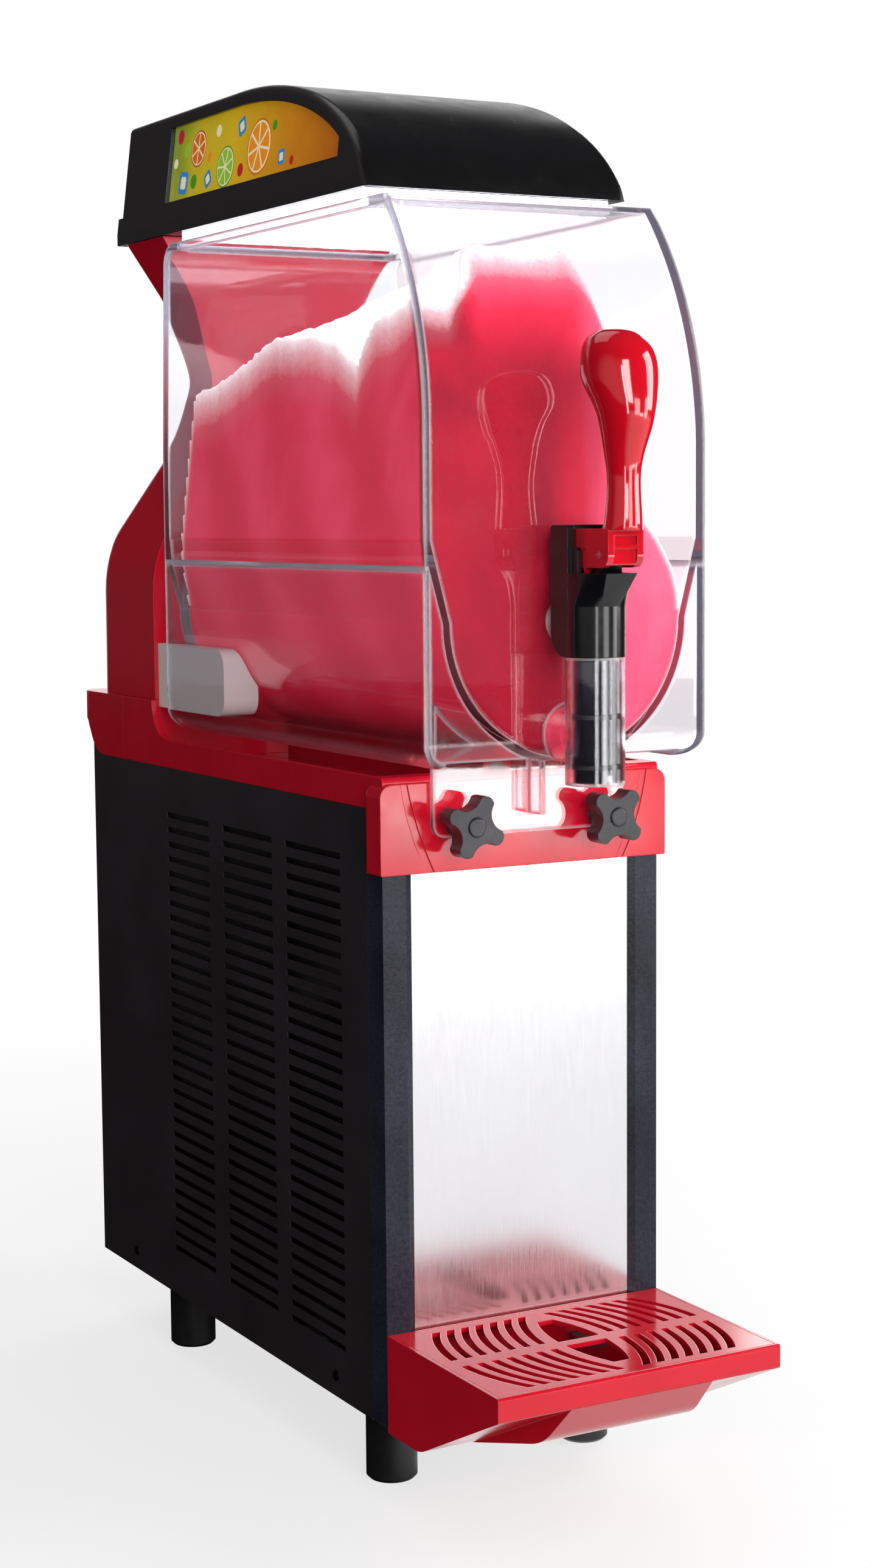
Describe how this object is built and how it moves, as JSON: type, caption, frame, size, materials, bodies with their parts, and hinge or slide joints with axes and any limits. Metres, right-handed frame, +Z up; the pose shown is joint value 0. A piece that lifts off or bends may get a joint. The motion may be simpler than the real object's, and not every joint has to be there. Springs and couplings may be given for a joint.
{
  "type": "slush machine",
  "caption": "Tall narrow slush dispenser: clear bowl with a horizontal auger round a cooling cylinder, lever tap, lit lid, drip tray and louvred cabinet on feet.",
  "frame": {"origin": "centre of the machine's overall footprint, on the surface that its feet stand on", "axes": "+X to the machine's right hand as the customer facing the tap sees it, -Y out of the front where the tap is, +Z up"},
  "size_m": [0.2068, 0.6412, 0.898],
  "materials": {
    "foot_black": "satin black moulded leg",
    "frame_steel": "dark zinc-grey paint",
    "panel_black": "satin black powder coat",
    "screw_steel": "bright plated",
    "rear_steel": "satin black powder coat",
    "gland_black": "moulded black",
    "stainless": "bright polished stainless sheet",
    "zinc_steel": "plain zinc-plated sheet",
    "red_plastic": "glossy red moulding",
    "black_plastic": "glossy black moulding",
    "drum_steel": "polished stainless cylinder",
    "bush_white": "white bearing plastic",
    "copper": "bare copper tube",
    "seal_rubber": "soft black rubber",
    "gasket_rubber": "pale food-grade rubber",
    "block_white": "white moulding",
    "motor_metal": "grey die-cast housing",
    "shaft_steel": "machined stainless",
    "auger_white": "white food-grade moulding",
    "clear_plastic": "clear polished polycarbonate",
    "piston_black": "black moulded piston",
    "pin_steel": "polished steel pin",
    "spring_steel": "spring wire",
    "knob_black": "satin black moulded knob",
    "knob_cap": "pressed-in cap",
    "sign_print": "printed translucent sheet, yellow to orange",
    "diffuser_white": "opal diffuser",
    "lamp_white": "opal lamp cover",
    "compressor_black": "black enamelled steel shell",
    "condenser_fins": "bare fin block",
    "fan_black": "moulded fan",
    "rocker_red": "moulded rocker",
    "rocker_black": "moulded rocker"
  },
  "bodies": {
    "base": {"feet": "foot_black", "base_frame": "frame_steel", "front_post_left": "panel_black", "front_post_right": "panel_black", "side_panel_left": "panel_black", "side_panel_right": "panel_black", "panel_screws": "screw_steel", "rear_panel": "rear_steel", "cord_gland": "gland_black", "front_panel": "stainless", "tray_bracket": "zinc_steel", "deck_plate": "zinc_steel", "base_cover": "red_plastic", "tower_cover": "red_plastic", "bulkhead": "zinc_steel", "cooling_cylinder": "drum_steel", "front_bush": "bush_white", "cooling_coil": "copper", "bowl_gasket": "gasket_rubber", "guide_blocks": "block_white", "gear_motor": "motor_metal", "compressor": "compressor_black", "condenser": "condenser_fins", "fan_shroud": "zinc_steel", "fan_motor": "motor_metal", "filter_dryer": "copper", "switch_bezel": "black_plastic"},
    "auger": {"drive_shaft": "shaft_steel", "auger": "auger_white", "auger_nut": "auger_white", "shaft_seal": "seal_rubber"},
    "bowl": {"bowl": "clear_plastic", "tap_bracket": "black_plastic", "lever_pivot_pin": "pin_steel", "tap_spring": "spring_steel"},
    "piston": {"tap_piston": "piston_black", "piston_seals": "seal_rubber", "stem_pin": "pin_steel"},
    "lever": {"tap_lever": "red_plastic"},
    "knob_left": {"star_knob_left": "knob_black", "knob_cap_left": "knob_cap", "knob_stud_left": "pin_steel"},
    "knob_right": {"star_knob_right": "knob_black", "knob_cap_right": "knob_cap", "knob_stud_right": "pin_steel"},
    "lid": {"lid_shell": "black_plastic", "sign_panel_left": "sign_print", "sign_panel_right": "sign_print", "lid_plate": "black_plastic", "lid_diffuser": "diffuser_white", "lid_lamp": "lamp_white"},
    "tray": {"drip_tray": "red_plastic"},
    "grille": {"drip_grille": "red_plastic"},
    "fan": {"fan_blade": "fan_black"},
    "power_switch": {"power_rocker": "rocker_red"},
    "mode_switch": {"mode_rocker": "rocker_black"}
  },
  "joints": [
    {"name": "auger_spin", "type": "hinge", "parent": "base", "child": "auger", "pos_m": [0, 0, 0.5515], "axis": [0, 1, 0], "continuous": true},
    {"name": "bowl_slide", "type": "slide", "parent": "base", "child": "bowl", "axis": [0, -1, 0], "range_m": [0, 0.4]},
    {"name": "tap_lever_turn", "type": "hinge", "parent": "bowl", "child": "lever", "pos_m": [0, -0.2919, 0.592], "axis": [1, 0, 0], "range_deg": [0, 60], "stiffness_Nm_per_rad": 2, "springref_deg": -17.19},
    {"name": "piston_lift", "type": "slide", "parent": "bowl", "child": "piston", "axis": [0, 0, 1], "range_m": [0, 0.0272], "deforming": ["tap_spring"]},
    {"name": "knob_left_turn", "type": "hinge", "parent": "bowl", "child": "knob_left", "pos_m": [-0.051, -0.194, 0.427], "axis": [0, 1, 0], "continuous": true},
    {"name": "knob_right_turn", "type": "hinge", "parent": "bowl", "child": "knob_right", "pos_m": [0.051, -0.194, 0.427], "axis": [0, 1, 0], "continuous": true},
    {"name": "lid_lift", "type": "slide", "parent": "base", "child": "lid", "axis": [0, 0, 1], "range_m": [0, 0.25]},
    {"name": "tray_slide", "type": "slide", "parent": "base", "child": "tray", "axis": [0, -1, 0], "range_m": [0, 0.15]},
    {"name": "grille_lift", "type": "slide", "parent": "tray", "child": "grille", "axis": [0, 0, 1], "range_m": [0, 0.05]},
    {"name": "fan_spin", "type": "hinge", "parent": "base", "child": "fan", "pos_m": [0, 0.025, 0.1665], "axis": [0, 1, 0], "continuous": true},
    {"name": "power_switch_rock", "type": "hinge", "parent": "base", "child": "power_switch", "pos_m": [-0.014, 0.2752, 0.525], "axis": [1, 0, 0], "range_deg": [0, 14]},
    {"name": "mode_switch_rock", "type": "hinge", "parent": "base", "child": "mode_switch", "pos_m": [0.014, 0.2752, 0.525], "axis": [1, 0, 0], "range_deg": [0, 14]}
  ],
  "couplings": [
    {"joint": "piston_lift", "follows": "tap_lever_turn", "m_per_rad": 0.025912}
  ]
}
